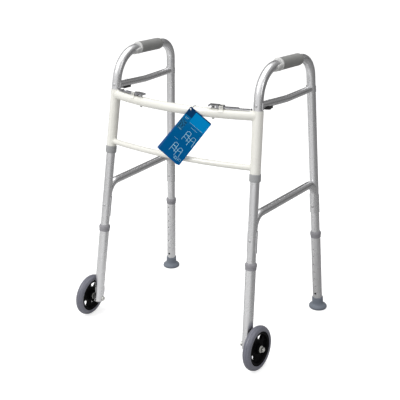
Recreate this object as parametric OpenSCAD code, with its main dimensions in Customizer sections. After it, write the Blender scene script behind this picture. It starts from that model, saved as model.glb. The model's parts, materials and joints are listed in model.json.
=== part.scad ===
// Folding front wheeled walker: two bent side frames swing on a painted
// front frame, four telescoping legs, two fixed front wheels, two rubber
// rear tips. Millimetres, +Z up, +Y towards the user, origin on the floor
// at the centre of the base. "Right" parts lie at +X, "left" parts at -X.

/* [Stance] */
// half distance between the front leg axes at the floor
base_x = 266.4; // [250:0.1:290]
// floor position of the front leg axes, front is minus Y
base_y = -198.8; // [-215:0.1:-185]
// backward lean of the front legs, degrees
lean = 7.43; // [6:0.01:9]
// inward slope of both side frames towards the top, degrees
splay = 3.0; // [2:0.1:4]
// outward turn of the rear of each side frame, degrees
toe = 2.2; // [1:0.1:3]

/* [Side frames] */
// outside diameter of the bent leg tube
leg_od = 25.4; // [24:0.1:25.4]
// wall of the bent leg tube
leg_wall = 1.3; // [1:0.1:1.6]
// centreline radius of the front bend
bend_front = 88; // [80:1:95]
// centreline radius of the rear bend
bend_rear = 60; // [50:1:66]
// height of the handle line where it meets the front leg axis
handle_z = 815.7; // [810:0.1:822]
// slope of the handle line against the front leg, degrees
handle_angle = 5.6915; // [5:0.0001:6.4]
// angle between front and rear leg, degrees
rear_angle = 11.0985; // [10.5:0.0001:11.7]
// floor distance from front to rear leg, along the side frame
rear_y = 422.9; // [415:0.1:430]

/* [Braces] */
// outside diameter of the upper brace tube
upper_od = 19; // [18:0.1:20]
// outside diameter of the lower brace tube
lower_od = 22.2; // [21:0.1:23]
// bend radius at the front of the lower brace
lower_bend_front = 40; // [36:1:42]
// bend radius at the rear of the lower brace
lower_bend_rear = 36; // [32:1:38]

/* [Front frame] */
// outside diameter of the hinge sleeves and the leg extensions
sleeve_od = 28.6; // [28.4:0.1:29]
// outside diameter of the upper crossbar
bar_od = 25.4; // [24:0.1:26]
// height of the upper crossbar axis
bar_z = 688.2; // [684:0.1:692]
// forward bow of the upper crossbar
bar_bow = 45.4; // [40:0.1:50]
// outside diameter of the lower crossbar
low_bar_od = 15.9; // [15:0.1:17]
// height of the lower crossbar axis
low_bar_z = 552.1; // [550:0.1:556]
// forward bow of the lower crossbar
low_bar_bow = 30; // [26:0.1:34]

/* [Legs and wheels] */
// spacing of the height adjustment holes
hole_pitch = 25.4; // [25:0.1:25.8]
// wheel diameter
wheel_d = 127; // [124:0.1:128]
// tread width
tyre_w = 23; // [20:0.5:24]
// diameter of the rear tip foot
foot_d = 56; // [50:0.5:60]

/* [Handles and tag] */
// outside diameter of the hand grips
grip_od = 33.6; // [32:0.1:35]
// length of the hand grips
grip_len = 114; // [105:0.5:116]
// width of the hang tag
tag_w = 72; // [66:1:76]
// length of the hang tag
tag_h = 154; // [146:1:158]

/* [Hidden] */
$fn = 64;

// radii; straight runs are a hair thinner than the bends they run into
leg_r = leg_od/2;
leg_bore_r = leg_r - leg_wall;
run_step = 0.1;
run_r = leg_r - run_step;
run_bore_r = leg_bore_r + run_step;
brace_step = 0.04;
gap = 0.05;
fit_r = leg_r + gap;
sleeve_r = sleeve_od/2;
saddle_r = fit_r + 1.9;
bar_r = bar_od/2;
grip_r = grip_od/2;
wheel_r = wheel_d/2;
foot_r = foot_d/2;
pin_r = 2;
pin_hole_r = 2.05;
axle_hole_r = 4.05;

// world directions of the side frame's +Z (up the front leg) and +Y
leg_dir = [-cos(lean)*sin(splay)*cos(toe) + sin(lean)*sin(toe),
  cos(lean)*sin(splay)*sin(toe) + sin(lean)*cos(toe),
  cos(lean)*cos(splay)];
back_dir = [cos(toe)*sin(lean)*sin(splay) + cos(lean)*sin(toe),
  cos(lean)*cos(toe) - sin(toe)*sin(lean)*sin(splay),
  -sin(lean)*cos(splay)];
function on_front_leg(z) = [base_x + leg_dir.x/leg_dir.z*z, base_y + leg_dir.y/leg_dir.z*z, z];

// rear leg axis at the floor, in the side frame and in the world
rear_z = -rear_y*back_dir.z/leg_dir.z;
rear_foot = [base_x + back_dir.x*rear_y + leg_dir.x*rear_z,
  base_y + back_dir.y*rear_y + leg_dir.y*rear_z,
  0];

// handle line and its meeting point with the rear leg line
handle_rise = tan(handle_angle);
meet_y = (rear_y + tan(rear_angle)*(rear_z - handle_z))/(1 + handle_rise*tan(rear_angle));
meet_z = handle_z + handle_rise*meet_y;
front_bend_z = handle_z + handle_rise*bend_front - bend_front/cos(handle_angle);
hoop_turn_front = 90 - handle_angle;
hoop_turn_rear = 90 - rear_angle + handle_angle;
rear_tangent = bend_rear*tan(hoop_turn_rear/2);
// [y, z] of the handle run's ends and of the top of the rear leg's straight
handle_start = [bend_front - bend_front*sin(handle_angle),
  front_bend_z + bend_front*cos(handle_angle)];
handle_end = [meet_y - rear_tangent*cos(handle_angle), meet_z - rear_tangent*sin(handle_angle)];
rear_start = [meet_y + rear_tangent*sin(rear_angle), meet_z - rear_tangent*cos(rear_angle)];
rear_top = (rear_start[1] - rear_z)*cos(rear_angle) - (rear_start[0] - rear_y)*sin(rear_angle);

// extension ends and holes, measured along each leg from the floor
front_ext_bottom = 54;
front_ext_top = 290;
front_hole_z = 89.2;
rear_ext_bottom = 8.1;
rear_ext_top = 255;
rear_hole_z = 54;
hole_count = 8;
hole_r = 3.5;
// buttons sit in the second hole, the leg tubes end below them
front_button_z = front_hole_z + hole_pitch;
rear_button_z = rear_hole_z + hole_pitch;
front_end = front_button_z - 17.4;
rear_end = rear_button_z - 13.4;
button_r = 3.3;

// hinge sleeves, along the front leg
sleeve_bottom = 542.7;
sleeve_top = 708.2;

// wheel: distance outboard of the leg, axle place along the leg
wheel_x = 31.9;
axle_z = (wheel_r - wheel_x*sin(splay) + 0.02)/leg_dir.z;
hub_r = wheel_r - 15;

// crossbars: arcs through both front leg axes
function bow_radius(end, bow) = (end.x*end.x + bow*bow)/(2*bow);
bar_end = on_front_leg(bar_z);
bar_arc_r = bow_radius(bar_end, bar_bow);
bar_center_y = bar_end.y - bar_bow + bar_arc_r;
bar_half_angle = asin(bar_end.x/bar_arc_r);
low_bar_end = on_front_leg(low_bar_z);
low_bar_arc_r = bow_radius(low_bar_end, low_bar_bow);
low_bar_center_y = low_bar_end.y - low_bar_bow + low_bar_arc_r;
low_bar_half_angle = asin(low_bar_end.x/low_bar_arc_r);

// upper brace: height on the front leg, slopes before and after its knee
upper_r = upper_od/2;
upper_wall = 1.2;
upper_z = 720.9;
upper_slope = 4.05;
upper_turn = 4.0725;
upper_rear_slope = upper_slope + upper_turn;
upper_knee_y = 146;
upper_knee_z = upper_z + tan(upper_slope)*upper_knee_y;
upper_bend_r = 300;
upper_tangent = upper_bend_r*tan(upper_turn/2);
// where its axis meets the rear leg: along the leg, and in side frame y
upper_rear_z = (upper_knee_z + tan(upper_rear_slope)*(rear_y - upper_knee_y) - rear_z)
  /(cos(rear_angle) + tan(upper_rear_slope)*sin(rear_angle));
upper_rear_y = rear_y - sin(rear_angle)*upper_rear_z;
// rivet through the brace and the catch, along the brace
catch_rivet_y = 49.5;

// lower brace: its ends run parallel to the legs, lower_offset off the axes
lower_r = lower_od/2;
lower_z = 427.5;
lower_slope = 7.1956;
lower_turn_front = 90 - lower_slope;
lower_turn_rear = 90 + lower_slope - rear_angle;
lower_offset = 4.6;
lower_front_end = 326.8;
lower_rear_end = 328;
lower_front_rivet = 361.5;
lower_rivet_inset = 22;
lower_rear_rivet = lower_rear_end + lower_rivet_inset;
// front bend centre and end
lower_center_y = lower_offset + lower_bend_front;
lower_center_z = lower_z + tan(lower_slope)*lower_center_y - lower_bend_front/cos(lower_slope);
lower_start = [lower_center_y - lower_bend_front*sin(lower_slope),
  lower_center_z + lower_bend_front*cos(lower_slope)];
// line parallel to the rear leg, in front of it, and where the brace meets it
offset_y = rear_y - lower_offset*cos(rear_angle);
offset_z = rear_z - lower_offset*sin(rear_angle);
lower_meet = (lower_z + tan(lower_slope)*offset_y - offset_z)
  /(cos(rear_angle) + tan(lower_slope)*sin(rear_angle));
lower_tangent = lower_bend_rear*tan(lower_turn_rear/2);
lower_end = [offset_y - sin(rear_angle)*lower_meet - lower_tangent*cos(lower_slope),
  offset_z + cos(rear_angle)*lower_meet - lower_tangent*sin(lower_slope)];

// release lever stations along the upper crossbar, degrees of arc
function bar_angle(x) = asin(x/bar_arc_r);
stud_angle = bar_angle(118);
pivot_angle = bar_angle(142);
flat_angle = bar_angle(186);
arm_angle = bar_angle(213);
lever_z = bar_r + 2.5;
lever_sheet = 1.6;
pin_z = bar_r + 6.2;

// hang tag: top corner, turn about Z, roll in its own plane
tag_pos = [65, -167.8, 703.5];
tag_yaw = 15.5;
tag_roll = 36.6;
tag_sheet_t = 0.8;
tag_hole_drop = 7.5;
tie_wire_r = 0.8;

// colours shared by several nodes
paint = [0.91, 0.90, 0.84];
hoop_color = [0.76, 0.77, 0.79];
grip_color = [0.33, 0.34, 0.36];
brace_color = [0.72, 0.73, 0.75];
steel = [0.6, 0.6, 0.6];
bright_steel = [0.7, 0.7, 0.7];
sleeve_collar_color = [0.55, 0.56, 0.57];
leg_collar_color = [0.5, 0.51, 0.54];
extension_color = [0.8, 0.8, 0.82];
button_color = [0.6, 0.6, 0.62];
clip_color = [0.5, 0.5, 0.52];
tip_color = [0.42, 0.47, 0.52];
tyre_color = [0.38, 0.38, 0.42];
hub_color = [0.06, 0.06, 0.06];
plug_color = [0.75, 0.75, 0.76];
lever_color = [0.75, 0.76, 0.78];
spring_color = [0.5, 0.5, 0.5];
stud_color = [0.3, 0.3, 0.3];
catch_color = [0.08, 0.08, 0.08];

// which part to draw, or all

// ---- placement ----
// side frame axes: +Z up the front leg, +Y to the rear leg, +X outboard
module right_frame()
  translate([base_x, base_y, 0]) rotate([-lean, -splay, -toe]) children();
module mirrored() mirror([1, 0, 0]) children();
module left_frame() mirrored() right_frame() children();
module raise(z) translate([0, 0, z]) children();
module at_rear() translate([0, rear_y, rear_z]) rotate([rear_angle, 0, 0]) children();
// rear leg with +Y turned to face the front leg
module at_rear_facing() at_rear() mirror([0, 1, 0]) children();
module at_front_button() raise(front_button_z) children();
module at_rear_button() at_rear_facing() raise(rear_button_z) children();
module at_handle()
  translate([0, handle_start[0], handle_start[1]]) rotate([handle_angle - 90, 0, 0]) children();
module on_upper_brace() raise(upper_z) rotate([upper_slope, 0, 0]) children();
// wheel axis along Z, outboard is +Z
module at_wheel() raise(axle_z) rotate([0, 90, 0]) children();
// on the upper crossbar axis: +X along the bar, +Y rearward
module on_bar(angle)
  translate([0, bar_center_y, bar_z]) rotate([0, 0, angle]) translate([0, -bar_arc_r, 0])
    children();

// ---- shared shapes ----
module ring2d(outer, inner) difference() {
  circle(r = outer);
  circle(r = inner);
}
module tube(h, outer, inner) linear_extrude(height = h) ring2d(outer, inner);
// bend in the side plane from +Z towards +Y, and the frame at its far end
module bend(radius, angle)
  translate([0, radius, 0]) rotate([90, 0, -90])
    rotate_extrude(angle = angle) translate([radius, 0]) children();
module after_bend(radius, angle)
  translate([0, radius, 0]) rotate([-angle, 0, 0]) translate([0, -radius, 0]) children();
function round3(x) = round(x*1000)/1000;
// half outline followed by its reflection in y, back to the start
function symmetric(half) =
  concat(half, [for (i = [len(half) - 1:-1:0]) [half[i].x, -half[i].y]]);
// pin hole along Y; uncentred it runs towards -Y
module cross_hole(length, center = true)
  rotate([90, 0, 0]) cylinder(r = pin_hole_r, h = length, center = center);
module button_hole() rotate([-90, 0, 0]) cylinder(r = hole_r, h = 30);

// ---- side frame pieces ----
// both legs and the handle as one bent tube
module hoop() difference() {
  raise(round3(front_end)) {
    front_run = round3(front_bend_z - front_end);
    handle_run = round3(norm(handle_end - handle_start));
    rear_run = round3(rear_top - rear_end);
    tube(front_run + 1, run_r, run_bore_r);
    raise(front_run) {
      bend(bend_front, hoop_turn_front) ring2d(leg_r, leg_bore_r);
      after_bend(bend_front, hoop_turn_front) {
        raise(-1) tube(handle_run + 2, run_r, run_bore_r);
        raise(handle_run) {
          bend(bend_rear, hoop_turn_rear) ring2d(leg_r, leg_bore_r);
          after_bend(bend_rear, hoop_turn_rear) raise(-1) tube(rear_run + 1, run_r, run_bore_r);
        }
      }
    }
  }
  raise(upper_z) cross_hole(60);
  raise(lower_front_rivet) cross_hole(60);
  at_rear() raise(lower_rear_rivet) cross_hole(30, center = false);
  at_rear() raise(upper_rear_z) cross_hole(60);
  at_front_button() button_hole();
  at_rear_button() button_hole();
}

// hand grip with an end bead and a finger stop that follows the front bend underneath
module grip() {
  at_handle() raise(10) rotate_extrude() polygon([
    [fit_r, 0], [grip_r + 0.4, 0], [grip_r + 1, 0.8], [grip_r + 1, 4],
    [grip_r, 5.5], [grip_r, grip_len - 6], [grip_r - 0.6, grip_len - 3],
    [grip_r - 2, grip_len], [fit_r, grip_len]]);
  at_handle() {
    rotate([0, 0, -90]) linear_extrude(height = 10.4) finger_stop2d();
    mirror([0, 0, 1]) bend(bend_front, 15 - handle_angle) finger_stop2d();
  }
}
module finger_stop2d() difference() {
  circle(r = grip_r - 0.4);
  circle(r = fit_r);
  translate([-4, -30]) square([60, 60]);
}

module upper_brace() difference() {
  front_run = round3(upper_knee_y/cos(upper_slope) - upper_tangent);
  rear_run = round3((upper_rear_y - upper_knee_y)/cos(upper_rear_slope) - upper_tangent);
  tube_r = upper_r - brace_step;
  tube_bore_r = upper_r - upper_wall + run_step;
  saddle_drop = upper_r - 0.4;
  union() {
    raise(upper_z) rotate([upper_slope - 90, 0, 0]) rotate([0, 0, 180]) {
      tube(front_run + 1, tube_r, tube_bore_r);
      raise(front_run) {
        bend(upper_bend_r, upper_turn) ring2d(upper_r, upper_r - upper_wall);
        after_bend(upper_bend_r, upper_turn) raise(-1) tube(rear_run + 1, tube_r, tube_bore_r);
      }
    }
    raise(upper_z - saddle_drop) saddle(2*saddle_drop);
    at_rear_facing() raise(upper_rear_z - saddle_drop) saddle(2*saddle_drop);
  }
  cylinder(r = fit_r, h = 1000);
  at_rear() cylinder(r = fit_r, h = 1000);
  raise(upper_z) cross_hole(40);
  at_rear() raise(upper_rear_z) cross_hole(40);
  on_upper_brace() translate([0, catch_rivet_y, -20]) cylinder(r = pin_hole_r, h = 40);
}
// cuts away everything in front of y = -2
module front_cut() translate([-40, -82]) square([80, 80]);
// half collar that hugs a leg from the plus Y side
module saddle(h) linear_extrude(height = h) difference() {
  circle(r = saddle_r);
  circle(r = fit_r);
  front_cut();
}
// the same outline left solid, to be trimmed by the leg afterwards
module flap(h) linear_extrude(height = h) difference() {
  circle(r = saddle_r);
  front_cut();
}

// solid at both ends and bends, hollow in the straight run between them
module lower_brace() {
  front_run = round3(lower_center_z - lower_front_end);
  middle_run = round3(norm(lower_end - lower_start));
  rear_run = round3(lower_meet - lower_tangent - lower_rear_end);
  tube_r = lower_r - brace_step;
  translate([0, lower_offset, lower_front_end]) {
    // end on the front leg
    difference() {
      union() {
        cylinder(r = tube_r, h = front_run + 1);
        translate([0, -lower_offset, 0]) flap(60);
      }
      leg_clearance();
      raise(lower_front_rivet - lower_front_end) cross_hole(60);
    }
    raise(front_run) {
      difference() {
        bend(lower_bend_front, lower_turn_front) circle(r = lower_r);
        leg_clearance();
      }
      after_bend(lower_bend_front, lower_turn_front) {
        difference() {
          raise(-1) cylinder(r = tube_r, h = middle_run + 2);
          raise(3) cylinder(r = lower_r - 1.4, h = middle_run - 6);
        }
        raise(middle_run) {
          difference() {
            bend(lower_bend_rear, lower_turn_rear) circle(r = lower_r);
            after_bend(lower_bend_rear, lower_turn_rear) leg_clearance();
          }
          // end on the rear leg
          after_bend(lower_bend_rear, lower_turn_rear) difference() {
            union() {
              raise(-1) cylinder(r = tube_r, h = rear_run + 1);
              translate([0, -lower_offset, rear_run - 58]) flap(58);
            }
            leg_clearance();
            raise(rear_run - lower_rivet_inset) cross_hole(60);
          }
        }
      }
    }
  }
}
// space taken by the leg beside an end of the lower brace
module leg_clearance() translate([0, -lower_offset, -60]) cylinder(r = fit_r, h = 400);

// domed rivet, head at z 0 upwards, shank downwards, optional rounded tail
module rivet(length, tail = true) {
  rotate_extrude() polygon([[0, -length], [pin_r, -length], [pin_r, 0],
    [4, 0], [3.6, 0.8], [2.4, 1.5], [0, 1.8]]);
  if (tail)
    raise(-length) rotate_extrude()
      polygon([[0, -1.4], [2, -1.2], [2.9, -0.4], [2.9, 0], [0, 0]]);
}
module brace_rivets() {
  seat = 0.02;
  translate([0, -run_r - seat, upper_z]) rotate([90, 0, 0]) rivet(2*leg_r + 4);
  translate([0, -run_r - seat, lower_front_rivet]) rotate([90, 0, 0]) rivet(2*leg_r + 3.62);
  at_rear() translate([0, -lower_offset - lower_r - seat, lower_rear_rivet])
    rotate([90, 0, 0]) rivet(lower_offset + lower_r - leg_bore_r + 0.6);
  at_rear() translate([0, run_r + seat, upper_rear_z]) rotate([-90, 0, 0]) rivet(2*leg_r + 4);
  on_upper_brace() translate([0, catch_rivet_y, upper_r + seat])
    rivet(2*upper_r + 3, tail = false);
}

// catch block under the front of the upper brace, with an outboard lug
module catch_block() on_upper_brace() difference() {
  bottom = -13.4;
  union() {
    translate([-7, 30, bottom]) cube([14, 32, 9.4]);
    raise(bottom) linear_extrude(height = 4.6)
      polygon([[6, 30], [11, 31.5], [13.5, 34], [13.5, 40], [11, 46], [6, 50]]);
  }
  rotate([-90, 0, 0]) cylinder(r = upper_r + gap, h = 100);
  translate([0, catch_rivet_y, -20]) cylinder(r = pin_hole_r, h = 40);
  // counterbore for the rivet end
  translate([0, catch_rivet_y, bottom - 1]) cylinder(r = 3.6, h = 2.6);
}

// ---- legs ----
// collar just below the hinge sleeve
module sleeve_collar() raise(sleeve_bottom - 20.9) rotate_extrude() polygon([
  [fit_r, 0], [sleeve_r - 0.2, 0], [sleeve_r + 1.2, 1.2], [sleeve_r + 1.4, 4],
  [sleeve_r + 1.4, 18.6], [sleeve_r + 0.6, 20.8], [fit_r, 20.8]]);

// collar at the top of a leg extension, tube end at z 0
module leg_collar() rotate_extrude() polygon([
  [sleeve_r + gap, -10], [sleeve_r + 0.9, -10], [sleeve_r + 1.3, -9], [sleeve_r + 1.3, -2.4],
  [sleeve_r + 2.2, -1.4], [sleeve_r + 2.2, 4.4], [sleeve_r + 1.4, 7], [leg_r + 1.6, 9],
  [leg_r + 0.1, 9], [leg_r + 0.1, 0.1], [sleeve_r + gap, 0.1]]);
module front_collar() raise(front_ext_top) leg_collar();
module rear_collar() at_rear() raise(rear_ext_top) leg_collar();

// leg extension with the hole row facing plus Y
module extension(bottom, top, first_hole, axle) difference() {
  raise(bottom) tube(top - bottom, sleeve_r, fit_r);
  for (k = [0:hole_count - 1]) raise(first_hole + k*hole_pitch) button_hole();
  if (axle) at_wheel() cylinder(r = axle_hole_r, h = 60, center = true);
}
module front_extension() extension(front_ext_bottom, front_ext_top, front_hole_z, axle = true);
module rear_extension()
  at_rear_facing() extension(rear_ext_bottom, rear_ext_top, rear_hole_z, axle = false);

// spring button facing plus Y
module button() rotate([-90, 0, 0]) rotate_extrude() polygon([
  [0, 8.4], [4.4, 8.4], [4.4, 9.3], [button_r, 9.3], [button_r, 14.6],
  [button_r - 0.5, 15.5], [button_r - 1.6, 16.1], [0, 16.4]]);
// folded leaf spring behind the button
module clip() {
  width = 7.6;
  leaf_t = 0.6;
  fold_r = 7.7;
  fold_z = 36;
  translate([-width/2, fold_r, -9]) cube([width, leaf_t, fold_z + 9]);
  translate([-width/2, -fold_r - leaf_t, -3]) cube([width, leaf_t, fold_z + 3]);
  raise(fold_z) rotate([0, -90, 0]) raise(-width/2) rotate([0, 0, -90])
    rotate_extrude(angle = 180) translate([fold_r, 0]) square([leaf_t, width]);
}

// rubber tip: a socket along the rear leg on a foot flat on the floor
module rear_tip() difference() {
  socket_floor = 6.2;
  union() {
    right_frame() at_rear() rotate_extrude() polygon([
      [0, 2], [17, 2], [17, 35.6], [16.4, 37.4],
      [sleeve_r + gap, 37.4], [sleeve_r + gap, socket_floor], [0, socket_floor]]);
    difference() {
      translate(rear_foot) rotate_extrude() polygon([
        [0, 0], [foot_r - 2.5, 0], [foot_r - 0.6, 0.8], [foot_r, 2.6], [foot_r - 0.4, 5],
        [foot_r - 2.6, 7], [foot_r - 6.4, 9.6], [19.2, 13], [17, 17], [0, 17]]);
      right_frame() at_rear() raise(socket_floor) cylinder(r = sleeve_r + gap, h = 60);
    }
  }
  // nothing below the floor
  translate([0, 0, -50]) cube([2000, 2000, 100], center = true);
}
module tip_washer() at_rear() raise(6.3) cylinder(r = 13.9, h = 1.7);

// domed plug in the bottom of the front leg extension
module leg_plug() rotate_extrude() polygon([
  [0, 48], [5, 48.4], [10, 49.6], [13, 51.4], [sleeve_r, 53.9],
  [fit_r - 0.1, 53.9], [fit_r - 0.1, 57.6], [0, 57.6]]);

// ---- wheel; outlines are [radius, distance along the axle] ----
module tyre() at_wheel() raise(wheel_x) rotate_extrude() polygon(symmetric([
  [hub_r + gap, -tyre_w/2 + 2], [hub_r + 2, -tyre_w/2], [hub_r + 7, -tyre_w/2],
  [wheel_r - 4, -tyre_w/2 + 1.6], [wheel_r - 1.2, -tyre_w/2 + 4],
  [wheel_r - 0.2, -tyre_w/2 + 7], [wheel_r, -2]]));
// hub with five windows
module wheel_hub() at_wheel() raise(wheel_x) difference() {
  rim_y = -tyre_w/2 + 2.2;
  rotate_extrude() polygon(symmetric([
    [axle_hole_r, -13], [11, -13], [14, -11], [15, -4], [40, -4], [42, rim_y], [hub_r, rim_y]]));
  for (k = [0:4]) rotate([0, 0, 24 + 72*k]) raise(-10) linear_extrude(height = 20)
    polygon([[24, -7], [26, -9.5], [36, -14], [38.6, -11], [39.4, 0],
      [38.6, 11], [36, 14], [26, 9.5], [24, 7]]);
}
module axle_bolt() at_wheel() rotate_extrude() polygon([
  [0, -sleeve_r - 6], [4.5, -sleeve_r - 5.8], [6.5, -sleeve_r - 4.5],
  [6.5, -sleeve_r - 0.05], [4, -sleeve_r - 0.05], [4, 54.4], [3.4, 55.2], [0, 55.2]]);
module axle_nut() at_wheel() raise(46.9) difference() {
  intersection() {
    cylinder(r = 7.4, h = 6, $fn = 6);
    rotate_extrude() polygon([[0, 0], [6.6, 0], [7.4, 0.8], [7.4, 5.2], [6.6, 6], [0, 6]]);
  }
  raise(-1) cylinder(r = axle_hole_r, h = 10);
}
// spacer between leg and hub, flat washer outboard of the hub
module axle_washers() at_wheel() {
  washer_r = 8.5;
  spacer_start = sleeve_r + 0.1;
  raise(spacer_start) difference() {
    cylinder(r = washer_r, h = 18.8 - spacer_start);
    raise(-1) cylinder(r = axle_hole_r, h = 10);
    // saddle against the round leg
    rotate([0, -90, 0]) translate([-spacer_start, 0, 0])
      cylinder(r = sleeve_r + 0.05, h = 40, center = true);
  }
  raise(45) tube(1.8, washer_r, axle_hole_r);
}

// ---- release lever ----
// section swept along the upper crossbar arc between two angles
module bar_arc(from, to)
  translate([0, bar_center_y, bar_z]) rotate([0, 0, from - 90])
    rotate_extrude(angle = to - from, $fn = 720) translate([bar_arc_r, 0]) children();
// U section open upwards, given by half widths
module channel(outer, inner, height) polygon([
  [-outer, lever_z], [outer, lever_z], [outer, lever_z + height], [inner, lever_z + height],
  [inner, lever_z + lever_sheet], [-inner, lever_z + lever_sheet],
  [-inner, lever_z + height], [-outer, lever_z + height]]);
module pivot_hole() raise(pin_z) cross_hole(40);
module release_lever() difference() {
  drop_z = lever_z - 1.9;
  lip_x = -33.5;
  union() {
    bar_arc(stud_angle + 0.85, pivot_angle + 0.6) channel(7, 5.4, 6.4);
    bar_arc(pivot_angle + 0.5, flat_angle) channel(5, 3.6, 3.8);
    bar_arc(flat_angle - 0.2, arm_angle) translate([-4.8, lever_z + 0.12]) square([9.6, 1.33]);
    // finger paddle with a rolled lip
    on_bar(pivot_angle) {
      translate([lip_x, -9, lever_z + 6.2]) cube([26.5, 18, lever_sheet]);
      translate([lip_x, 0, lever_z + 5.4]) rotate([90, 0, 0]) raise(-9) cylinder(r = 2.4, h = 18);
    }
    // drop behind the bar and nose towards the catch
    on_bar(arm_angle) {
      translate([-6, 3, drop_z]) cube([6, 1.4, 3.3]);
      translate([-6, 3, drop_z]) cube([10.6, 3, lever_sheet]);
      translate([1, 3, drop_z]) cube([3.6, 13, lever_sheet]);
      translate([1, 14.4, 2]) cube([3.6, lever_sheet, lever_z - 2.3]);
      raise(2) linear_extrude(height = 2.2)
        polygon([[1, 14.4], [1, 22], [6, 32.4], [18.9, 31.2], [20.8, 28.1],
          [18.7, 24.2], [7, 21], [4.6, 16], [4.6, 14.4]]);
    }
  }
  on_bar(pivot_angle) pivot_hole();
}
// half clamp over the bar with two upright ears
module lever_bracket() on_bar(pivot_angle) difference() {
  union() {
    translate([-6, 0, 0]) rotate([0, 90, 0]) cylinder(r = bar_r + 1.6, h = 12);
    for (side = [-1, 1]) translate([-5, side*8.2 - 0.9, 7]) cube([10, 1.8, pin_z - 3.4]);
  }
  translate([-40, 0, 0]) rotate([0, 90, 0]) cylinder(r = bar_r + 0.12, h = 80);
  translate([-20, -20, -40]) cube([40, 40, 46]);
  pivot_hole();
}
module lever_pin() on_bar(pivot_angle) raise(pin_z) rotate([90, 0, 0]) rotate_extrude()
  polygon(symmetric([[0, -10.4], [3, -10.4], [3.2, -10], [3.2, -9.2], [pin_r, -9.2]]));
// coil spring kept as a closed corrugated sleeve
module lever_spring() on_bar(stud_angle) raise(bar_r + 0.3) rotate_extrude()
  polygon(concat([for (i = [0:10]) [i % 2 == 0 ? 3.9 : 5, i*0.81]], [[2.9, 8.1], [2.9, 0]]));
// upright stud through the bar, with a flange below it
module guide_stud() on_bar(stud_angle) rotate_extrude() polygon([
  [0, -bar_r - 4.4], [1.6, -bar_r - 4.4], [2.2, -bar_r - 3.8], [2.2, -bar_r - 2.6],
  [3.6, -bar_r - 2.6], [3.6, -bar_r - 1.4], [2.2, -bar_r - 1.4],
  [2.2, bar_r + 5.6], [1.6, bar_r + 6.2], [0, bar_r + 6.2]]);

// ---- hang tag: two sheets, the rear one turned slightly about the hole ----
module tag_sheet()
  rotate([90, 0, 0]) linear_extrude(height = tag_sheet_t) rotate([0, 0, -tag_roll])
    difference() {
      translate([0, -tag_h]) square([tag_w, tag_h]);
      rotate([0, 0, tag_roll]) translate([0, -tag_hole_drop]) circle(r = 2.6);
    }
module hang_tag() color([0.05, 0.35, 0.65]) translate(tag_pos) rotate([0, 0, tag_yaw]) {
  tag_sheet();
  translate([0, tag_sheet_t + 0.01, -tag_hole_drop]) rotate([0, -2.2, 0])
    raise(tag_hole_drop) tag_sheet();
}
// wire ring standing across X
module tie_ring(radius)
  rotate([0, 90, 0]) rotate_extrude() translate([radius, 0]) circle(r = tie_wire_r);
// one ring round the crossbar, one at the tag's hole
module tag_tie() color([0.6, 0.62, 0.65]) {
  on_bar(bar_angle(tag_pos.x)) tie_ring(14.6);
  translate(tag_pos - [0, 0, 2.5]) rotate([0, 0, tag_yaw]) translate([0, 2.5, 0]) tie_ring(5.6);
}

// ---- painted front frame: two sleeves, two bowed bars ----
module sleeve() raise(sleeve_bottom) cylinder(r = sleeve_r, h = sleeve_top - sleeve_bottom);
module sleeve_bore() cylinder(r = fit_r, h = 1000);
module stud_hole() on_bar(stud_angle) cylinder(r = 2.3, h = 60, center = true);
// lower crossbar, shortened by trim degrees at each end
module low_bar(radius, trim = 0)
  translate([0, low_bar_center_y, low_bar_z]) rotate([0, 0, -low_bar_half_angle + trim - 90])
    rotate_extrude(angle = 2*low_bar_half_angle - 2*trim, $fn = 900)
      translate([low_bar_arc_r, 0]) circle(r = radius);
module front_frame() color(paint) difference() {
  bore_half_angle = bar_half_angle - 1.6;
  union() {
    right_frame() sleeve();
    left_frame() sleeve();
    bar_arc(-bar_half_angle, bar_half_angle) circle(r = bar_r);
    low_bar(low_bar_od/2);
  }
  bar_arc(-bore_half_angle, bore_half_angle) circle(r = bar_r - 1.5);
  low_bar(low_bar_od/2 - 1.4, trim = 1.2);
  right_frame() sleeve_bore();
  left_frame() sleeve_bore();
  stud_hole();
  mirrored() stud_hole();
}

// ---- paired nodes ----
module right_hoop() color(hoop_color) right_frame() hoop();
module left_hoop() color(hoop_color) left_frame() hoop();
module right_grip() color(grip_color) right_frame() grip();
module left_grip() color(grip_color) left_frame() grip();
module right_upper_brace() color(brace_color) right_frame() upper_brace();
module left_upper_brace() color(brace_color) left_frame() upper_brace();
module right_lower_brace() color(brace_color) right_frame() lower_brace();
module left_lower_brace() color(brace_color) left_frame() lower_brace();
module right_brace_rivets() color(steel) right_frame() brace_rivets();
module left_brace_rivets() color(steel) left_frame() brace_rivets();
module right_sleeve_collar() color(sleeve_collar_color) right_frame() sleeve_collar();
module left_sleeve_collar() color(sleeve_collar_color) left_frame() sleeve_collar();
module front_right_collar() color(leg_collar_color) right_frame() front_collar();
module front_left_collar() color(leg_collar_color) left_frame() front_collar();
module rear_right_collar() color(leg_collar_color) right_frame() rear_collar();
module rear_left_collar() color(leg_collar_color) left_frame() rear_collar();
module front_right_extension() color(extension_color) right_frame() front_extension();
module front_left_extension() color(extension_color) left_frame() front_extension();
module rear_right_extension() color(extension_color) right_frame() rear_extension();
module rear_left_extension() color(extension_color) left_frame() rear_extension();
module front_right_button() color(button_color) right_frame() at_front_button() button();
module front_left_button() color(button_color) left_frame() at_front_button() button();
module rear_right_button() color(button_color) right_frame() at_rear_button() button();
module rear_left_button() color(button_color) left_frame() at_rear_button() button();
module front_right_clip() color(clip_color) right_frame() at_front_button() clip();
module front_left_clip() color(clip_color) left_frame() at_front_button() clip();
module rear_right_clip() color(clip_color) right_frame() at_rear_button() clip();
module rear_left_clip() color(clip_color) left_frame() at_rear_button() clip();
module right_rear_tip() color(tip_color) rear_tip();
module left_rear_tip() color(tip_color) mirrored() rear_tip();
module right_tip_washer() color(bright_steel) right_frame() tip_washer();
module left_tip_washer() color(bright_steel) left_frame() tip_washer();
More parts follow.
